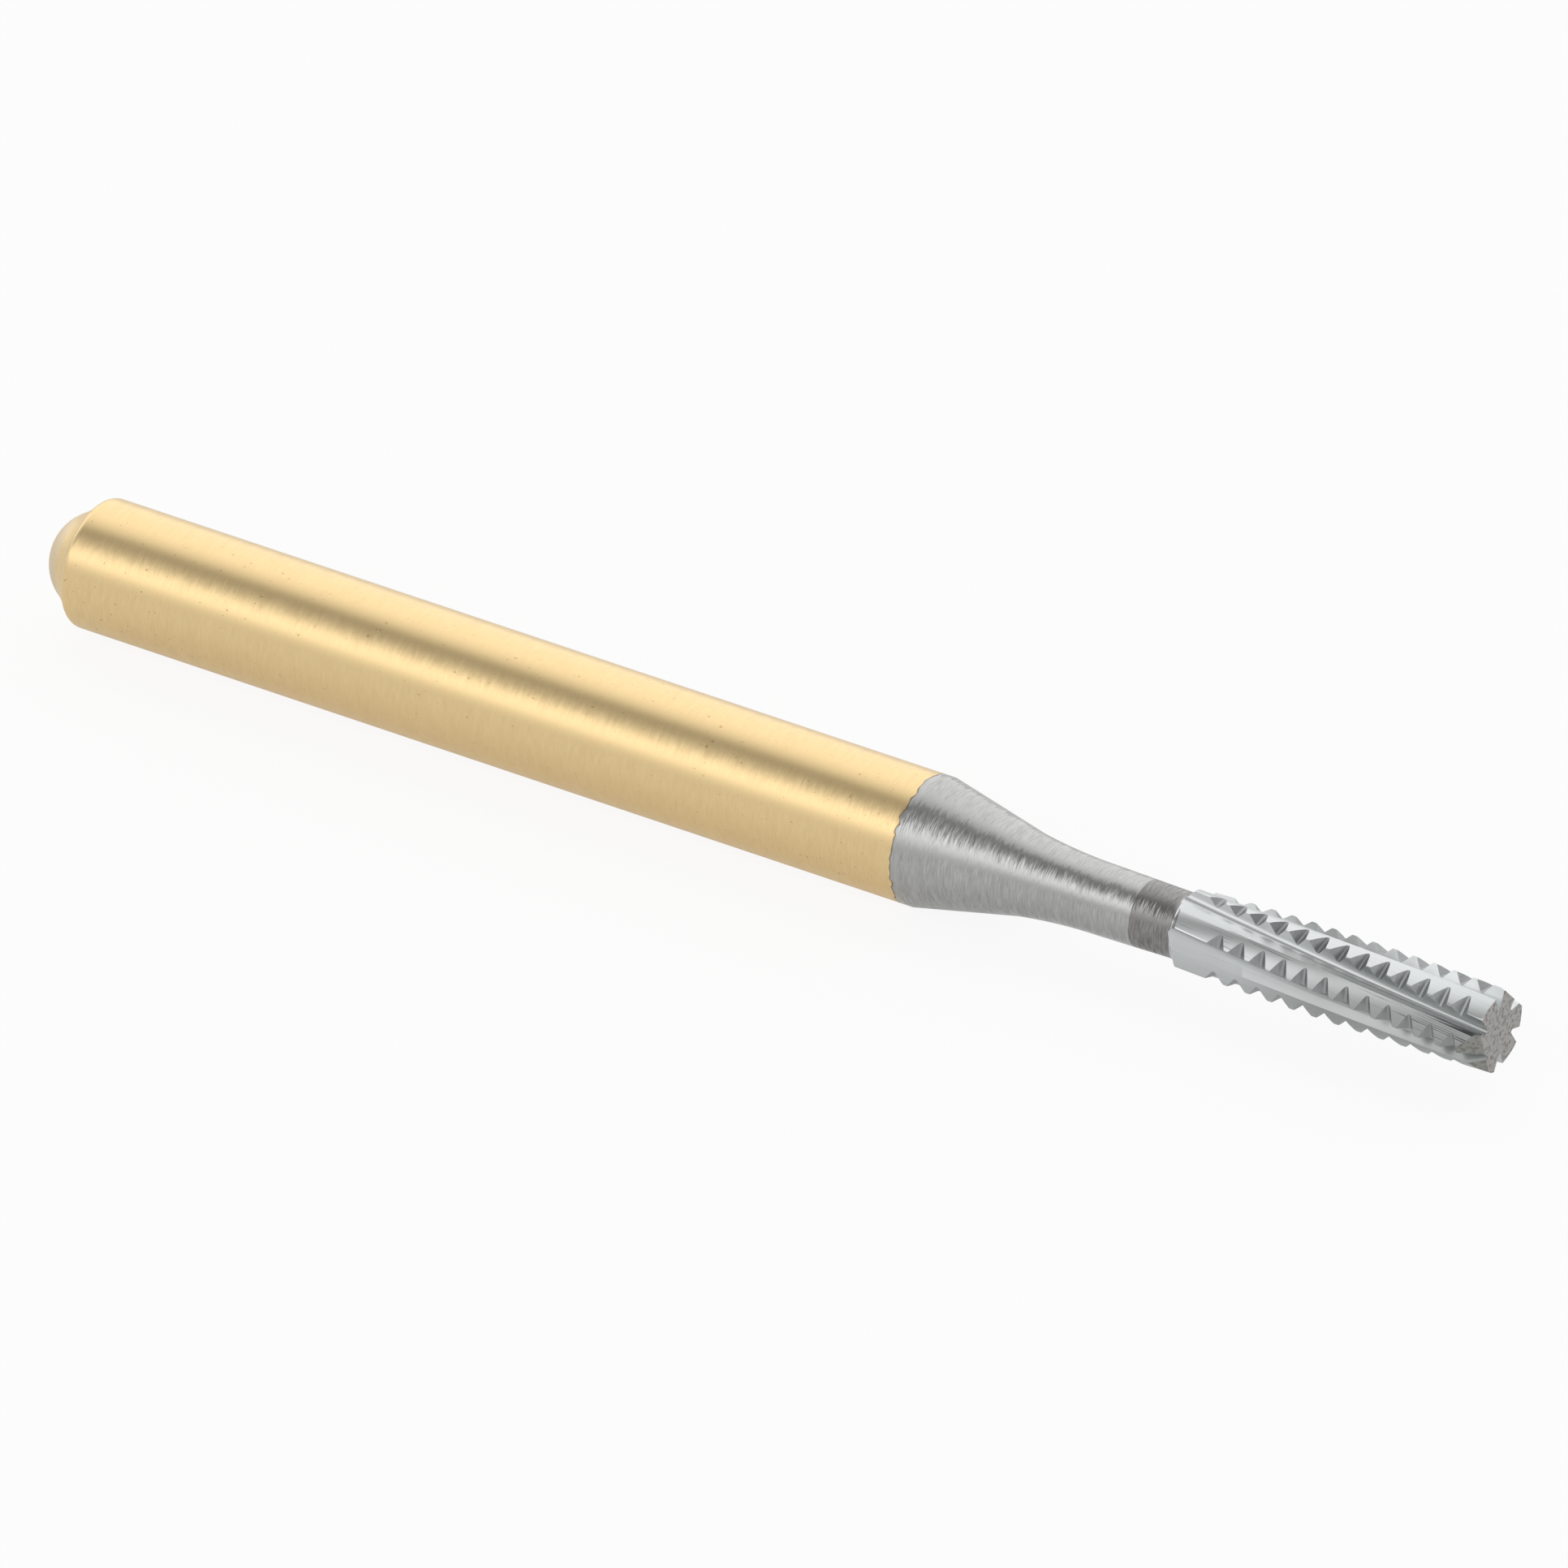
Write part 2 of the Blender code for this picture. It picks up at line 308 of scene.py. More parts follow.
@dataclass(frozen=True)
class PlatedSteel:
    """Martensitic stainless steel, centreless ground, with a thin gold flash on its rear part.

    The plating is warm and bright with fine marks round the axis and a few dark pits, and paler
    and duller on the dome, which the wheel never reached. Beyond its ragged edge the bare steel
    of the neck is a cool grey whose coarser marks each catch the light for themselves.
    """

    gold: str = "#FBDFA9"
    dull_gold: str = "#EDD09A"
    dome: str = "#EBD9B8"
    pit: str = "#A88653"
    steel: str = "#CBCBCA"
    scored_steel: str = "#A3A3A2"
    rim: str = "#6E5A45"
    edge: float = 12.10 * MM
    edge_blur: float = 0.004 * MM
    rim_width: float = 0.022 * MM
    wander: float = 0.10 * MM
    wander_grain: float = 0.35 * MM
    scallop: float = 0.07 * MM
    scallop_grain: float = 0.10 * MM
    dome_end: float = 0.33 * MM
    dome_blur: float = 0.02 * MM
    pit_size: float = 0.05 * MM
    pit_limits: tuple[float, float] = (0.72, 0.80)
    pit_share: float = 0.7
    mark_width: float = 0.012 * MM
    mark_length: float = 0.15 * MM
    mark_relief: float = 0.002 * MM
    broad_share: float = 0.3
    gold_roughness: float = 0.29
    dome_roughness: float = 0.42
    steel_roughness: float = 0.22
    gold_tilt: float = 0.03
    steel_tilt: float = 0.12

    def material(self) -> bpy.types.Material:
        """Builds the material of the whole shank, plated and bare.

        Returns:
            The material, with one shader.
        """
        material, shader = metal("gold_flashed_ground_steel")
        tree = material.node_tree
        place = add(tree, "ShaderNodeTexCoord").outputs["Object"]
        along = add(tree, "ShaderNodeSeparateXYZ", {0: place}).outputs["X"]
        fine = wheel_marks(tree, place, self.mark_width, self.mark_length)
        broad = wheel_marks(tree, place, 5.0 * self.mark_width, 3.0 * self.mark_length)
        marks = add(tree, "ShaderNodeMix", {
            0: self.broad_share, 2: fine, 3: broad}).outputs[0]
        wander = add(tree, "ShaderNodeTexNoise", {
            "Vector": place, "Scale": 1.0 / self.wander_grain, "Detail": 1.0})
        scallop = add(tree, "ShaderNodeTexVoronoi", {
            "Vector": place, "Scale": 1.0 / self.scallop_grain}, feature="SMOOTH_F1")
        shift = add(tree, "ShaderNodeMath", {
            0: wander.outputs["Fac"], 1: self.wander, 2: along}, operation="MULTIPLY_ADD")
        ragged = add(tree, "ShaderNodeMath", {
            0: scallop.outputs["Distance"], 1: self.scallop, 2: shift.outputs[0]},
            operation="MULTIPLY_ADD")
        middle = self.edge + (self.wander + self.scallop) / 2.0
        bare = add(tree, "ShaderNodeMapRange", {
            "Value": ragged.outputs[0],
            "From Min": middle - self.edge_blur,
            "From Max": middle + self.edge_blur}).outputs[0]
        rim = add(tree, "ShaderNodeMapRange", {
            "Value": ragged.outputs[0],
            "From Min": middle - self.rim_width,
            "From Max": middle - self.edge_blur}).outputs[0]
        domed = add(tree, "ShaderNodeMapRange", {
            "Value": along, "From Min": self.dome_end + self.dome_blur,
            "From Max": self.dome_end - self.dome_blur}).outputs[0]
        spots = add(tree, "ShaderNodeTexNoise", {
            "Vector": place, "Scale": 1.0 / self.pit_size, "Detail": 1.0})
        pitted = add(tree, "ShaderNodeMapRange", {
            "Value": spots.outputs["Fac"], "From Min": self.pit_limits[0],
            "From Max": self.pit_limits[1], "To Max": self.pit_share})
        plated = add(tree, "ShaderNodeMix", {
            0: marks, 6: linear(self.dull_gold), 7: linear(self.gold)}, data_type="RGBA")
        worn = add(tree, "ShaderNodeMix", {
            0: pitted.outputs[0], 6: plated.outputs[2], 7: linear(self.pit)}, data_type="RGBA")
        pale = add(tree, "ShaderNodeMix", {
            0: domed, 6: worn.outputs[2], 7: linear(self.dome)}, data_type="RGBA")
        rimmed = add(tree, "ShaderNodeMix", {
            0: rim, 6: pale.outputs[2], 7: linear(self.rim)}, data_type="RGBA")
        ground = add(tree, "ShaderNodeMix", {
            0: marks, 6: linear(self.scored_steel), 7: linear(self.steel)}, data_type="RGBA")
        colour = add(tree, "ShaderNodeMix", {
            0: bare, 6: rimmed.outputs[2], 7: ground.outputs[2]}, data_type="RGBA")
        satin = add(tree, "ShaderNodeMix", {
            0: domed, 2: self.gold_roughness, 3: self.dome_roughness})
        gloss = add(tree, "ShaderNodeMix", {
            0: bare, 2: satin.outputs[0], 3: self.steel_roughness})
        lean = add(tree, "ShaderNodeMix", {
            0: bare, 4: tilted(tree, marks, self.gold_tilt),
            5: tilted(tree, marks, self.steel_tilt)}, data_type="VECTOR")
        relief = add(tree, "ShaderNodeBump", {
            "Height": marks, "Strength": 0.25, "Distance": self.mark_relief,
            "Normal": lean.outputs[1]})
        join_up(tree, shader, {"Base Color": colour.outputs[2], "Roughness": gloss.outputs[0],
                               "Normal": relief.outputs[0]})
        return material


@dataclass(frozen=True)
class GroundCarbide:
    """Cemented tungsten carbide, ground with a diamond wheel.

    A hard bright grey with fine lines in the direction that the wheel ran, along the helix. Two
    blades carry painted shade: a darker grey from their middle on, and on one black streaks
    along the lines at the tip. Angles of the painted shade are taken at the tip, the later two
    from the streaks' middle.
    """

    name: str
    bright: str
    dark: str
    roughness: float
    line_width: float
    line_length: float
    twist_per_mm: float
    tip: float
    line_limits: tuple[float, float] = (0.30, 0.42)
    line_relief: float = 0.002 * MM
    # Painted shade: a darker grey over two blades from the middle of the head to the tip, in place
    # of a darker reflection.
    painted_shade_grey: str = "#AAADAC"
    painted_shade_most: float = 0.85
    painted_shade_from: float = 16.6 * MM
    painted_shade_run: float = 1.2 * MM
    # Painted shade: black streaks along the grinding lines of one blade near the tip.
    shade_streaks: str = "#4A4A4C"
    shade_streak_angle: float = math.radians(177.0)
    shade_streak_half: float = math.radians(19.0)
    shade_streak_reach: float = 1.1 * MM
    shade_streak_end: float = 0.2 * MM
    shade_streak_most: float = 0.12
    shade_streak_limits: tuple[float, float] = (0.33, 0.36)
    # Where the painted shade's darker grey lies round the axis, from the streaks' middle.
    painted_shade_middle: float = 0.50
    painted_shade_half: float = 0.92

    def material(self) -> bpy.types.Material:
        """Builds the material, its lines laid along the helix of the flutes.

        Returns:
            The material, with one shader.
        """
        material, shader = metal(self.name)
        tree = material.node_tree
        place = add(tree, "ShaderNodeTexCoord").outputs["Object"]
        split = add(tree, "ShaderNodeSeparateXYZ", {0: place})
        angle = add(tree, "ShaderNodeMath", {
            0: split.outputs["X"], 1: self.twist_per_mm / MM}, operation="MULTIPLY")
        unwound = add(tree, "ShaderNodeVectorRotate", {
            "Vector": place, "Angle": angle.outputs[0]}, rotation_type="X_AXIS", invert=True)
        lay = add(tree, "ShaderNodeMapping", {
            "Vector": unwound.outputs[0],
            "Scale": (1.0 / self.line_length, 1.0 / self.line_width, 1.0 / self.line_width)})
        lines = add(tree, "ShaderNodeTexNoise", {
            "Vector": lay.outputs[0], "Scale": 1.0, "Detail": 3.0, "Roughness": 0.6})
        spread = add(tree, "ShaderNodeMapRange", {
            "Value": lines.outputs["Fac"], "From Min": self.line_limits[0],
            "From Max": self.line_limits[1]})
        bare = add(tree, "ShaderNodeMix", {
            0: spread.outputs[0], 6: linear(self.dark), 7: linear(self.bright)},
            data_type="RGBA")
        # Painted shade: the sector round the axis that the black streaks take.
        sector = add(tree, "ShaderNodeVectorRotate", {
            "Vector": unwound.outputs[0],
            "Angle": self.shade_streak_angle - self.twist_per_mm * self.tip / MM},
            rotation_type="X_AXIS", invert=True)
        parts = add(tree, "ShaderNodeSeparateXYZ", {0: sector.outputs[0]})
        aside = add(tree, "ShaderNodeMath", {
            0: parts.outputs["Z"], 1: parts.outputs["Y"]}, operation="ARCTAN2")
        off = add(tree, "ShaderNodeMath", {0: aside.outputs[0]}, operation="ABSOLUTE")
        band = add(tree, "ShaderNodeMapRange", {
            "Value": off.outputs[0], "From Min": self.shade_streak_half + 0.06,
            "From Max": self.shade_streak_half - 0.02})
        # The painted shade's darker grey: its share along the axis and round it.
        reach = add(tree, "ShaderNodeMapRange", {
            "Value": split.outputs["X"], "From Min": self.painted_shade_from,
            "From Max": self.painted_shade_from + self.painted_shade_run, "To Max": self.painted_shade_most})
        beside = add(tree, "ShaderNodeMath", {
            0: aside.outputs[0], 1: self.painted_shade_middle}, operation="SUBTRACT")
        away = add(tree, "ShaderNodeMath", {0: beside.outputs[0]}, operation="ABSOLUTE")
        wide = add(tree, "ShaderNodeMapRange", {
            "Value": away.outputs[0], "From Min": self.painted_shade_half + 0.10,
            "From Max": self.painted_shade_half - 0.05})
        painted_shade_share = add(tree, "ShaderNodeMath", {
            0: wide.outputs[0], 1: reach.outputs[0]}, operation="MULTIPLY")
        # Painted shade: black streaks along the lines, stronger towards the tip.
        shade_streaks = add(tree, "ShaderNodeMapRange", {
            "Value": split.outputs["X"], "From Min": self.tip - self.shade_streak_reach,
            "From Max": self.tip - self.shade_streak_end, "To Max": self.shade_streak_most})
        streak = add(tree, "ShaderNodeMath", {
            0: lines.outputs["Fac"], 1: shade_streaks.outputs[0]}, operation="SUBTRACT")
        black = add(tree, "ShaderNodeMapRange", {
            "Value": streak.outputs[0], "From Min": self.shade_streak_limits[1],
            "From Max": self.shade_streak_limits[0]})
        struck = add(tree, "ShaderNodeMath", {
            0: band.outputs[0], 1: black.outputs[0]}, operation="MULTIPLY")
        # Painted shade: the darker grey mixed into the ground colour.
        painted_shaded = add(tree, "ShaderNodeMix", {
            0: painted_shade_share.outputs[0], 6: bare.outputs[2], 7: linear(self.painted_shade_grey)},
            data_type="RGBA")
        # Painted shade: the black streaks laid over the colour.
        colour = add(tree, "ShaderNodeMix", {
            0: struck.outputs[0], 6: painted_shaded.outputs[2], 7: linear(self.shade_streaks)},
            data_type="RGBA")
        relief = add(tree, "ShaderNodeBump", {
            "Height": lines.outputs["Fac"], "Strength": 0.12, "Distance": self.line_relief})
        join_up(tree, shader, {"Base Color": colour.outputs[2], "Normal": relief.outputs[0]})
        shader.inputs["Roughness"].default_value = self.roughness
        return material


@dataclass(frozen=True)
class ScoredCarbide:
    """Carbide ground across the axis, with short marks: darker than the steel beside it."""

    name: str = "scored_carbide_stub"
    bright: str = "#AAA8A7"
    dark: str = "#747272"
    mark_width: float = 0.016 * MM
    mark_length: float = 0.20 * MM
    roughness: float = 0.28
    tilt: float = 0.16
    mark_relief: float = 0.002 * MM

    def material(self) -> bpy.types.Material:
        """Builds the material with wheel marks round the axis.

        Returns:
            The material, with one shader.
        """
        material, shader = metal(self.name)
        tree = material.node_tree
        place = add(tree, "ShaderNodeTexCoord").outputs["Object"]
        marks = wheel_marks(tree, place, self.mark_width, self.mark_length)
        colour = add(tree, "ShaderNodeMix", {
            0: marks, 6: linear(self.dark), 7: linear(self.bright)}, data_type="RGBA")
        relief = add(tree, "ShaderNodeBump", {
            "Height": marks, "Strength": 0.3, "Distance": self.mark_relief,
            "Normal": tilted(tree, marks, self.tilt)})
        join_up(tree, shader, {"Base Color": colour.outputs[2], "Normal": relief.outputs[0]})
        shader.inputs["Roughness"].default_value = self.roughness
        return material


@dataclass(frozen=True)
class RawCarbide:
    """Cemented carbide that no wheel has ground: a dull grainy grey with small dark pits."""

    name: str
    light: str
    pit: str
    grain: float
    roughness: float
    grain_share: float = 0.35
    pit_scale: float = 0.3
    pit_limits: tuple[float, float] = (0.50, 0.70)
    grain_relief: float = 0.006 * MM

    def material(self) -> bpy.types.Material:
        """Builds the grainy material.

        Returns:
            The material, with one shader.
        """
        material, shader = metal(self.name)
        tree = material.node_tree
        place = add(tree, "ShaderNodeTexCoord").outputs["Object"]
        grains = add(tree, "ShaderNodeTexNoise", {
            "Vector": place, "Scale": 1.0 / self.grain, "Detail": 3.0, "Roughness": 0.7})
        pits = add(tree, "ShaderNodeTexNoise", {
            "Vector": place, "Scale": self.pit_scale / self.grain, "Detail": 2.0})
        depth = add(tree, "ShaderNodeMath", {
            0: grains.outputs["Fac"], 1: self.grain_share, 2: pits.outputs["Fac"]},
            operation="MULTIPLY_ADD")
        shade = add(tree, "ShaderNodeMapRange", {
            "Value": depth.outputs[0], "From Min": self.pit_limits[0],
            "From Max": self.pit_limits[1]})
        colour = add(tree, "ShaderNodeMix", {
            0: shade.outputs[0], 6: linear(self.pit), 7: linear(self.light)},
            data_type="RGBA")
        relief = add(tree, "ShaderNodeBump", {
            "Height": depth.outputs[0], "Strength": 0.5, "Distance": self.grain_relief})
        join_up(tree, shader, {"Base Color": colour.outputs[2], "Normal": relief.outputs[0]})
        shader.inputs["Roughness"].default_value = self.roughness
        return material


@dataclass
class Shank:
    """The steel pin: domed rear end, gripped cylinder, cone and thin neck."""

    radius: float = 0.80 * MM
    length: float = 12.20 * MM
    dome_radius: float = 0.645 * MM
    dome_edge_radius: float = 0.570 * MM
    flank_angle: float = math.radians(40.1)
    end_round: float = 0.115 * MM
    end_swing: float = math.radians(75.0)
    cone_length: float = 1.34 * MM
    cone_half_angle: float = math.radians(12.2)
    sweep_length: float = 1.10 * MM
    neck_radius_rear: float = 0.427 * MM
    neck_radius_front: float = 0.4171 * MM
    joint: float = 15.15 * MM
    facets: int = 256
    curve_steps: int = 16
    corner_steps: int = 10
    smooth_angle: float = math.radians(12.0)

    def rear_outline(self) -> Outline:
        """Gives the rear end from the dome's apex to the cylinder.

        Returns:
            Pairs of a place along the axis and a radius.
        """
        edge = math.asin(self.dome_edge_radius / self.dome_radius)
        dome = [(self.dome_radius * (1.0 - math.cos(edge * i / self.curve_steps)),
                 self.dome_radius * math.sin(edge * i / self.curve_steps))
                for i in range(1, self.curve_steps + 1)]
        centre = self.radius - self.end_round
        crease = centre + self.end_round * math.cos(self.end_swing)
        middle = (dome[-1][0] + (crease - self.dome_edge_radius) / math.tan(self.flank_angle)
                  + self.end_round * math.sin(self.end_swing))
        turns = [self.end_swing * (1.0 - i / self.corner_steps)
                 for i in range(self.corner_steps + 1)]
        corner = [(middle - self.end_round * math.sin(turn),
                   centre + self.end_round * math.cos(turn)) for turn in turns]
        return [(0.0, TINY)] + dome + corner

    def neck_outline(self) -> Outline:
        """Gives the cone, the sweep and the neck from the cylinder to the joint.

        Returns:
            Pairs of a place along the axis and a radius.
        """
        cone_radius = self.radius - self.cone_length * math.tan(self.cone_half_angle)
        drop = cone_radius - self.neck_radius_rear
        sweep = (self.sweep_length ** 2 + drop ** 2) / (2.0 * drop)
        swing = math.asin(self.sweep_length / sweep)
        neck = self.length + self.cone_length + self.sweep_length
        turns = [swing * (1.0 - i / self.curve_steps) for i in range(self.curve_steps + 1)]
        curve = [(neck - sweep * math.sin(turn),
                  self.neck_radius_rear + sweep * (1.0 - math.cos(turn))) for turn in turns]
        return [(self.length, self.radius)] + curve + [(self.joint, self.neck_radius_front)]

    def build(self) -> bpy.types.Object:
        """Turns the shank from its whole outline.

        Returns:
            The finished mesh object.
        """
        piece = turned("plated_shank", self.rear_outline() + self.neck_outline(), self.facets)
        bpy.ops.object.shade_smooth_by_angle(angle=self.smooth_angle)
        return piece

    def dress(self, piece: bpy.types.Object) -> None:
        """Gives the shank its finish and its place in the frame.

        Args:
            piece: the shank.
        """
        piece.data.materials.append(PlatedSteel().material())
        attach(piece, BODY)
        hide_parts("steel_shank")


@dataclass
class Head:
    """The carbide head with its plain stub and six cross-cut blades.

    Angles are taken about the axis from +Y towards +Z, and the blade numbered 0 stands at
    tip_angle at the tip. Its rake face is on the side of the larger angles.
    """

    start: float = 15.62 * MM
    tip: float = 19.99 * MM
    joint: float = 15.15 * MM
    stub_radius_rear: float = 0.417 * MM
    stub_radius_front: float = 0.408 * MM
    radius_rear: float = 0.530 * MM
    radius_tip: float = 0.523 * MM
    fillet: float = 0.216 * MM
    tip_chamfer: float = 0.012 * MM
    facets: int = 256
    fillet_steps: int = 10
    smooth_angle: float = math.radians(28.0)

    blades: int = 6
    twist_per_mm: float = math.radians(11.4)
    tip_angle: float = math.radians(17.5)
    floor_rear: float = 0.420 * MM
    floor_tip: float = 0.250 * MM
    floor_round_rear: float = 0.110 * MM
    floor_round_tip: float = 0.030 * MM
    rake_angle: float = math.radians(15.0)
    land_height: float = 0.004 * MM
    back_angle_rear: float = math.radians(19.0)
    back_angle_tip: float = math.radians(16.0)
    heel_angle_rear: float = math.radians(42.0)
    heel_angle_tip: float = math.radians(36.0)
    heel_drop_rear: float = 0.112 * MM
    heel_drop_tip: float = 0.147 * MM
    back_width_rear: float = 0.200 * MM
    back_width_tip: float = 0.300 * MM
    overrun: float = 0.10 * MM
    stations: int = 120
    floor_steps: int = 8
    back_steps: int = 12

    notch_pitch: float = 0.2925 * MM
    notch_depth: float = 0.118 * MM
    notch_shortfall: float = 0.040 * MM
    notch_run_in: float = 1.30 * MM
    notch_half_angle: float = math.radians(41.0)
    notch_tilt: float = math.radians(8.0)
    root_round: float = 0.034 * MM
    lip_round: float = 0.028 * MM
    root_steps: int = 5
    lip_steps: int = 4
    reach_back: float = 0.26 * MM
    reach_front: float = 0.12 * MM
    clearance: float = 0.02 * MM
    first_tooth: float = 0.50 * MM
    last_tooth: float = 0.236 * MM

    def between(self, place: float, rear: float, front: float) -> float:
        """Gives a measure at a place, from its values at the blades' rear end and the tip."""
        return rear + (front - rear) * ((place - self.start) / (self.tip - self.start))

    def radius(self, place: float) -> float:
        """Gives the blank's radius at a place along the axis."""
        return self.between(place, self.radius_rear, self.radius_tip)

    def turn(self, place: float) -> float:
        """Gives the angle of blade 0 at a place along the axis."""
        return self.tip_angle + self.twist_per_mm * (place - self.tip) / MM

    def blank_outline(self) -> Outline:
        """Gives the blank from the joint to the flat tip.

        Returns:
            Pairs of a place along the axis and a radius.
        """
        rise = self.radius_rear - self.stub_radius_front
        swing = math.acos(1.0 - rise / self.fillet)
        turns = [swing * i / self.fillet_steps for i in range(self.fillet_steps + 1)]
        shoulder = [(self.start + self.fillet * math.sin(turn),
                     self.stub_radius_front + self.fillet * (1.0 - math.cos(turn)))
                    for turn in turns]
        chamfer = self.tip - self.tip_chamfer
        return ([(self.joint, self.stub_radius_rear)] + shoulder
                + [(chamfer, self.radius(chamfer)),
                   (self.tip, self.radius(self.tip) - self.tip_chamfer)])

    def blade_section(self, place: float) -> list[Vector]:
        """Draws all the blades' section at a place, as if they weren't twisted.

        From one crest the section runs down the rake face, round the flute's floor and up to the
        heel of the next blade, whose back bows out to its own crest.

        Args:
            place: where along the axis.

        Returns:
            The section's corners in order, in the frame's own axes.
        """
        crest = self.radius(place) + self.land_height
        floor = self.between(place, self.floor_rear, self.floor_tip)
        bottom = self.between(place, self.floor_round_rear, self.floor_round_tip)
        drop = self.between(place, self.heel_drop_rear, self.heel_drop_tip)
        width = self.between(place, self.back_width_rear, self.back_width_tip)
        slope = math.tan(self.between(place, self.back_angle_rear, self.back_angle_tip))
        steep = math.tan(self.between(place, self.heel_angle_rear, self.heel_angle_tip))
        spacing = 2.0 * math.pi / self.blades
        down = Vector((-math.cos(self.rake_angle), math.sin(self.rake_angle)))
        half = crest * math.cos(self.rake_angle)
        foot = Vector((crest, 0.0)) + down * (half - math.sqrt(half ** 2 - crest ** 2 + floor ** 2))
        onward = Matrix.Rotation(spacing, 2)
        top = onward @ Vector((crest, 0.0))
        heel = top - onward @ Vector((drop, width))
        bend = (steep * width - drop) / (steep - slope)
        bow = top - onward @ Vector((slope * bend, bend))
        rise = (heel - foot).normalized()
        opening = (-down).angle(rise)
        setback = bottom / math.tan(opening / 2.0)
        centre = foot + (rise - down).normalized() * (bottom / math.sin(opening / 2.0))
        first = foot - down * setback - centre
        swing = first.angle_signed(foot + rise * setback - centre)
        flute = [centre + Matrix.Rotation(-swing * i / self.floor_steps, 2) @ first
                 for i in range(self.floor_steps + 1)]
        back = [heel * (1.0 - t) ** 2 + bow * 2.0 * t * (1.0 - t) + top * t ** 2
                for t in (i / self.back_steps for i in range(self.back_steps))]
        corners = [Vector((crest, 0.0))] + flute + back
        whole = []
        for blade in range(self.blades):
            angle = spacing * blade + self.tip_angle - self.twist_per_mm * self.tip / MM
            for corner in corners:
                y, z = Matrix.Rotation(angle, 2) @ corner
                whole.append(Vector((place, y, z)))
        return whole

    def grid(self, corner: Vector) -> tuple[int, int]:
        """Rounds where a corner lies across the axis to a tenth of a micrometre."""
        return round(corner.y / MM * 1e4), round(corner.z / MM * 1e4)

    def blades_form(self) -> bpy.types.Object:
        """Lofts the twisted body of the blades, longer than the blank at both ends.

        The rear section is bridged to a copy of itself beyond the tip, every ring of the bridge
        is drawn in to the section of its own place, and the whole is twisted.

        Returns:
            The closed form, before the blank bounds it.
        """
        first, last = self.joint - self.overrun, self.tip + self.overrun
        corners = self.blade_section(first)
        form = draw_loop("flutes", corners)
        edit()
        bpy.ops.mesh.select_all(action="SELECT")
        bpy.ops.mesh.duplicate_move(TRANSFORM_OT_translate={"value": (last - first, 0.0, 0.0)})
        bpy.ops.mesh.select_all(action="SELECT")
        bpy.ops.mesh.bridge_edge_loops(number_cuts=self.stations, interpolation="LINEAR")
        bpy.ops.mesh.select_all(action="SELECT")
        bpy.ops.mesh.fill_holes(sides=0)
        bpy.ops.mesh.normals_make_consistent(inside=False)
        edit("OBJECT")
        numbers = {self.grid(corner): number for number, corner in enumerate(corners)}
        sections: dict[int, list[Vector]] = {}
        for vertex in form.data.vertices:
            ring = round((vertex.co.x - first) / (last - first) * (self.stations + 1))
            if ring not in sections:
                sections[ring] = self.blade_section(vertex.co.x)
            vertex.co = sections[ring][numbers[self.grid(vertex.co)]]
        twist = form.modifiers.new("helix", "SIMPLE_DEFORM")
        twist.deform_method = "TWIST"
        twist.deform_axis = "X"
        twist.angle = self.twist_per_mm * (last - first) / MM
        bpy.ops.object.modifier_apply(modifier=twist.name)
        return form

    def notch_section(self) -> list[Vector]:
        """Draws one notch across: a round root, two straight flanks and a round lip at each side.

        Returns:
            Its corners, as a rise above the root along X and a place along Z.
        """
        half = self.notch_half_angle
        sine, cosine = math.sin(half), math.cos(half)
        lip_rise = self.notch_depth - self.lip_round * (1.0 - sine)
        run = (lip_rise - self.root_round * (1.0 - sine)) / cosine
        lip = self.root_round * cosine + run * sine
        swing = math.pi / 2 - half
        turns = [swing * i / self.root_steps for i in range(1, self.root_steps + 1)]
        root = [(self.root_round * (1.0 - math.cos(turn)), self.root_round * math.sin(turn))
                for turn in turns]
        turns = [half + swing * i / self.lip_steps for i in range(self.lip_steps + 1)]
        mouth = [(self.notch_depth - self.lip_round * (1.0 - math.sin(turn)),
                  lip + self.lip_round * (cosine - math.cos(turn))) for turn in turns]
        side = root + mouth + [(self.notch_depth + self.clearance, mouth[-1][1])]
        return ([Vector((0.0, 0.0, 0.0))] + [Vector((x, 0.0, z)) for x, z in side]
                + [Vector((x, 0.0, -z)) for x, z in reversed(side)])

    def notch_places(self, blade: int) -> list[float]:
        """Gives the notches' places along one blade, from the tip back."""
        highest = self.tip - self.last_tooth - self.notch_pitch * blade / self.blades
        count = int((highest - self.start - self.first_tooth) / self.notch_pitch) + 1
        return [highest - self.notch_pitch * i for i in range(count)]

    def on_blade(self, blade: int, place: float) -> Matrix:
        """Gives the place on a blade's crest: local X outwards, local Z along the axis."""
        to_frame = Matrix(((0, 0, 1, 0), (1, 0, 0, 0), (0, 1, 0, 0), (0, 0, 0, 1)))
        angle = self.turn(place) + 2.0 * math.pi * blade / self.blades
        return (to_frame @ Matrix.Rotation(angle, 4, "Z")
                @ Matrix.Translation((self.radius(place), 0.0, place)))

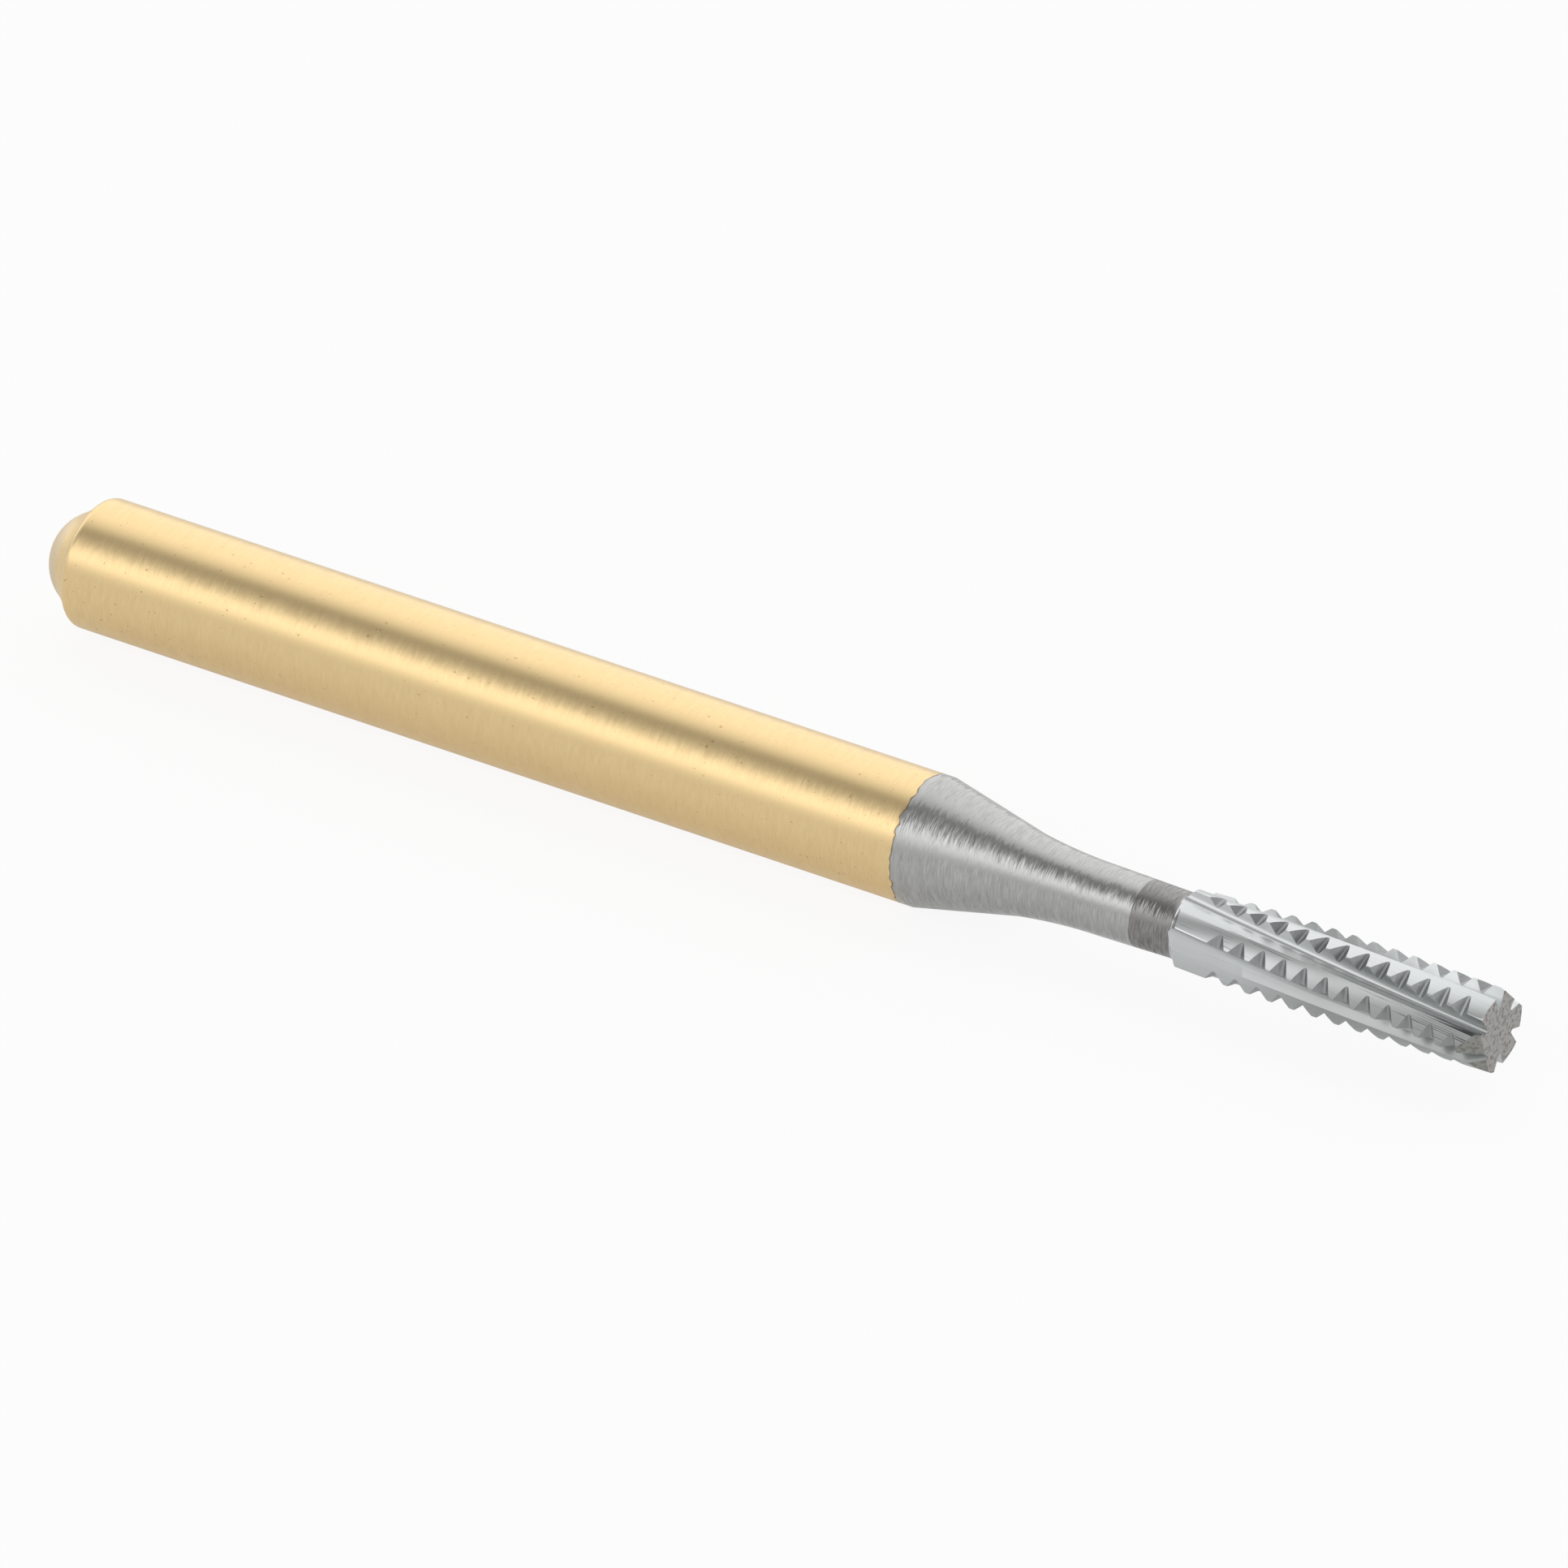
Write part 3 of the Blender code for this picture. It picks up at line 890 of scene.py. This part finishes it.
    def notches(self) -> bpy.types.Object:
        """Models one notch as a bar, drawn in millimetres, and copies it to all their places.

        Returns:
            All the bars as one object.
        """
        bar = draw_loop("cross_cut", [corner / MM for corner in self.notch_section()])
        edit()
        bpy.ops.mesh.select_all(action="SELECT")
        bpy.ops.mesh.edge_face_add()
        bpy.ops.transform.translate(value=(0.0, -self.reach_back / MM, 0.0))
        bpy.ops.mesh.extrude_region_move(TRANSFORM_OT_translate={
            "value": (0.0, (self.reach_back + self.reach_front) / MM, 0.0)})
        bpy.ops.mesh.select_all(action="SELECT")
        bpy.ops.mesh.normals_make_consistent(inside=False)
        edit("OBJECT")
        copies = []
        for blade in range(self.blades):
            for place in self.notch_places(blade):
                short = max(0.0, 1.0 - (place - self.start - self.first_tooth) / self.notch_run_in)
                depth = self.notch_depth - self.notch_shortfall * short
                helix = math.atan(self.radius(place) * self.twist_per_mm / MM)
                copy = bar.copy()
                copy.data = bar.data.copy()
                copy.data.transform(
                    self.on_blade(blade, place) @ Matrix.Rotation(-helix, 4, "X")
                    @ Matrix.Translation((-depth, 0.0, 0.0))
                    @ Matrix.Rotation(self.notch_tilt, 4, "Z")
                    @ Matrix.Diagonal((MM * depth / self.notch_depth, MM, MM, 1.0)))
                bpy.context.scene.collection.objects.link(copy)
                copies.append(copy)
        bpy.data.objects.remove(bar)
        return joined(copies)

    def breaks(self) -> bpy.types.Object:
        """Models the lumps that have broken off the ends of three blades.

        Returns:
            The lumps as one object.
        """
        side = 2.0 * self.radius_tip
        lumps = []
        for broken in BREAKS:
            deselect()
            bpy.ops.mesh.primitive_cube_add(size=side)
            lump = bpy.context.object
            lump.data.transform(
                self.on_blade(broken.blade, self.tip)
                @ Matrix.Rotation(broken.lean, 4, "Z")
                @ Matrix.Translation((-broken.depth, 0.0, 0.0))
                @ Matrix.Rotation(-math.atan2(broken.depth, broken.length), 4, "Y")
                @ Matrix.Translation((side / 2.0, 0.0, 0.0)))
            lumps.append(lump)
        return joined(lumps)

    def build(self) -> bpy.types.Object:
        """Turns the blank, bounds the blades with it and cuts the notches and breaks.

        Returns:
            The finished mesh object.
        """
        finishes = self.finishes()
        piece = turned("cross_cut_head", self.blank_outline(), self.facets)
        for finish in (Region.STUB, Region.END, Region.LAND):
            piece.data.materials.append(finishes[finish])
        for face in piece.data.polygons:
            face.material_index = self.blank_region(face.center, face.normal)
        for form, region, operation in (
                (self.blades_form(), Region.FLUTE, "INTERSECT"),
                (self.notches(), Region.NOTCH, "DIFFERENCE"),
                (self.breaks(), Region.BREAK, "DIFFERENCE")):
            form.data.materials.append(finishes[region])
            combine(piece, form, operation)
        bpy.ops.object.shade_smooth_by_angle(angle=self.smooth_angle)
        even = piece.modifiers.new("even_shading", "WEIGHTED_NORMAL")
        even.keep_sharp = True
        bpy.ops.object.modifier_apply(modifier=even.name)
        return piece

    def blank_region(self, centre: Vector, normal: Vector) -> int:
        """Tells which of the blank's finishes a face has.

        Args:
            centre: the face's centre.
            normal: its outward normal.

        Returns:
            The number of the finish.
        """
        if normal.x > 0.9 and centre.x > self.tip - self.tip_chamfer / 4.0:
            return 1
        return 0 if centre.x < self.start + 0.1 * MM else 2

    def finishes(self) -> dict[Region, bpy.types.Material]:
        """Makes the finish of each kind of face.

        The stub, the notches and what the wheel left round are ground; the end was parted off
        the blank's bar and the breaks show the carbide's own grain.

        Returns:
            The materials by region.
        """
        def along_helix(name: str, bright: str, dark: str, roughness: float,
                        width: float) -> bpy.types.Material:
            """Gives carbide ground along the flutes, with lines of a width."""
            return GroundCarbide(name, bright, dark, roughness, width, 1.6 * MM,
                                 self.twist_per_mm, self.tip).material()
        return {
            Region.STUB: ScoredCarbide().material(),
            Region.END: RawCarbide("parted_carbide_end", "#BCBAB7", "#8E8B88",
                                   0.015 * MM, 0.50).material(),
            Region.LAND: along_helix("land_ground_carbide", "#D3D6D6", "#C4C8C8", 0.14,
                                     0.02 * MM),
            Region.FLUTE: along_helix("wheel_ground_carbide", "#D5D8D8", "#BFC3C3", 0.31,
                                      0.012 * MM),
            Region.NOTCH: ScoredCarbide("cross_cut_carbide", "#B0B3B3", "#A3A6A6",
                                        0.012 * MM, 0.25 * MM, 0.38, 0.01).material(),
            Region.BREAK: RawCarbide("fractured_carbide", "#A5A6A1", "#85847F",
                                     0.016 * MM, 0.45).material(),
        }

    def dress(self, piece: bpy.types.Object) -> None:
        """Gives the head its place in the frame.

        Args:
            piece: the head.
        """
        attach(piece, BODY)
        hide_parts("carbide_head")


# The room's light by the angle about the burr's axis, from the horizon behind the burr (0) over
# the top to the horizon in front (180): a wide box behind, shade overhead, a bright box before
# the camera. The first two are the ramp's own stops, at its ends.
BOX_LEVELS: tuple[tuple[float, float], ...] = (
    (0.0, 1.50), (180.0, 0.85), (60.0, 1.45), (72.0, 1.28), (82.0, 1.02), (88.0, 0.80),
    (92.0, 0.42), (100.0, 0.36), (106.0, 0.48), (114.0, 0.60), (120.0, 0.78), (127.0, 1.20),
    (134.0, 1.62), (143.0, 1.75), (152.0, 1.58), (160.0, 1.08), (168.0, 0.90),
)


@dataclass
class Studio:
    """Camera, white floor and the soft boxes that stand along the burr.

    The shares of glow keep the floor white to the camera and even in reflections, and leave the
    rest of it matt, so that the burr's shadow lies on it.
    """

    towards_camera: tuple[float, float, float] = (0.454, -0.7171, 0.5287)
    aim: tuple[float, float, float] = (10.10 * MM, 0.0525 * MM, 0.0712 * MM)
    distance: float = 0.75
    lens: float = 1470.0
    floor_height: float = -0.80 * MM
    floor_size: float = 4.0
    table: str = "#DCDCDC"
    glow: float = 1.04
    camera_glow: float = 0.86
    glossy_glow: float = 0.35
    peak: float = 2.0
    shade_limits: tuple[float, float] = (0.42, 0.60)
    front_shade: float = 0.35
    front_limits: tuple[float, float] = (0.83, 0.90)
    front_light: float = 1.5

    def set_camera(self) -> None:
        """Places the camera as the photograph was taken."""
        look = Vector(self.towards_camera).normalized()
        data = bpy.data.cameras.new("camera")
        camera = bpy.data.objects.new("camera", data)
        bpy.context.scene.collection.objects.link(camera)
        camera.location = Vector(self.aim) + look * self.distance
        camera.rotation_euler = (-look).to_track_quat("-Z", "Y").to_euler()
        data.lens = self.lens
        data.clip_start = 0.05
        data.clip_end = 10.0
        bpy.context.scene.camera = camera

    def lay_floor(self) -> bpy.types.Object:
        """Lays the white floor that the burr rests on.

        Returns:
            The floor, marked as stage.
        """
        deselect()
        bpy.ops.mesh.primitive_plane_add(size=self.floor_size,
                                         location=(0.0, 0.0, self.floor_height))
        floor = bpy.context.object
        floor.name = "floor"
        bpy.ops.object.transform_apply(location=True, rotation=True, scale=True)
        material = bpy.data.materials.new("white_matt_table")
        material.use_nodes = True
        tree = material.node_tree
        tree.nodes.clear()
        matt = add(tree, "ShaderNodeBsdfDiffuse", {"Color": linear(self.table)})
        glow = add(tree, "ShaderNodeEmission", {"Strength": self.glow})
        ray = add(tree, "ShaderNodeLightPath")
        seen = add(tree, "ShaderNodeMath", {
            0: ray.outputs["Is Camera Ray"], 1: self.camera_glow}, operation="MULTIPLY")
        shiny = add(tree, "ShaderNodeMath", {
            0: ray.outputs["Is Glossy Ray"], 1: ray.outputs["Is Transmission Ray"]},
            operation="ADD")
        share = add(tree, "ShaderNodeMath", {
            0: shiny.outputs[0], 1: self.glossy_glow, 2: seen.outputs[0]},
            operation="MULTIPLY_ADD")
        white = add(tree, "ShaderNodeMixShader", {
            0: share.outputs[0], 1: matt.outputs[0], 2: glow.outputs[0]})
        add(tree, "ShaderNodeOutputMaterial", {0: white.outputs[0]})
        floor.data.materials.append(material)
        floor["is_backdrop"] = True
        return floor

    def light_room(self) -> None:
        """Lights the room by direction: long boxes beside the burr, shade and a lamp ahead."""
        world = bpy.data.worlds.new("soft_box_room")
        bpy.context.scene.world = world
        world.use_nodes = True
        tree = world.node_tree
        tree.nodes.clear()
        way = add(tree, "ShaderNodeTexCoord").outputs["Generated"]
        split = add(tree, "ShaderNodeSeparateXYZ", {0: way})
        angle = add(tree, "ShaderNodeMath", {
            0: split.outputs["Z"], 1: split.outputs["Y"]}, operation="ARCTAN2")
        share = add(tree, "ShaderNodeMapRange", {
            "Value": angle.outputs[0], "From Min": 0.0, "From Max": math.pi})
        boxes = add(tree, "ShaderNodeValToRGB", {0: share.outputs[0]})
        paint_stops(boxes, [(degrees / 180.0, level / self.peak)
                            for degrees, level in BOX_LEVELS])
        shade = add(tree, "ShaderNodeMapRange", {
            "Value": split.outputs["X"], "From Min": self.shade_limits[0],
            "From Max": self.shade_limits[1], "To Min": self.peak,
            "To Max": self.peak * self.front_shade})
        long_boxes = add(tree, "ShaderNodeMath", {
            0: boxes.outputs[0], 1: shade.outputs[0]}, operation="MULTIPLY")
        front_box = add(tree, "ShaderNodeMapRange", {
            "Value": split.outputs["X"], "From Min": self.front_limits[0],
            "From Max": self.front_limits[1], "To Max": self.front_light})
        light = add(tree, "ShaderNodeMath", {
            0: long_boxes.outputs[0], 1: front_box.outputs[0]}, operation="MAXIMUM")
        ray = add(tree, "ShaderNodeLightPath")
        room = add(tree, "ShaderNodeBackground", {"Strength": light.outputs[0]})
        white = add(tree, "ShaderNodeBackground", {"Color": (1.0, 1.0, 1.0, 1.0)})
        clear = add(tree, "ShaderNodeMath", {
            0: ray.outputs["Is Camera Ray"], 1: ray.outputs["Is Transmission Ray"]},
            operation="MAXIMUM")
        shown = add(tree, "ShaderNodeMixShader", {
            0: clear.outputs[0], 1: room.outputs[0], 2: white.outputs[0]})
        add(tree, "ShaderNodeOutputWorld", {0: shown.outputs[0]})

    def set_up(self) -> None:
        """Sets the whole studio up."""
        self.set_camera()
        self.lay_floor()
        self.light_room()
        bpy.context.scene.view_settings.view_transform = "Standard"


def note_size(when: str, sizes: dict[str, list[list[float]]]) -> None:
    """Args:
        when: name of the moment.
        sizes: boxes noted so far, which this one joins.
    """
    sizes[when] = [list(corner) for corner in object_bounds()]


def main() -> None:
    """Dresses the burr and sets up its studio."""
    logging.basicConfig(level=logging.INFO, format="%(name)s: %(message)s")
    sizes: dict[str, list[list[float]]] = {}
    note_size("loaded", sizes)
    for maker in (Shank(), Head()):
        piece = maker.build()
        maker.dress(piece)
        log.info("%s: %d faces", piece.name, len(piece.data.polygons))
    Studio().set_up()
    note_size("finished", sizes)


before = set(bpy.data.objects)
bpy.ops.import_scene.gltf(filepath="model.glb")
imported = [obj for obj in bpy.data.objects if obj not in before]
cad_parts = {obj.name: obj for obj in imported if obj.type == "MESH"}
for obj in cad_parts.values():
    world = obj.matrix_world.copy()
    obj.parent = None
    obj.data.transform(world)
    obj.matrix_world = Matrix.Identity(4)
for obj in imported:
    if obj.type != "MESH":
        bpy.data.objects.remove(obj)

if __name__ == "__main__":
    main()
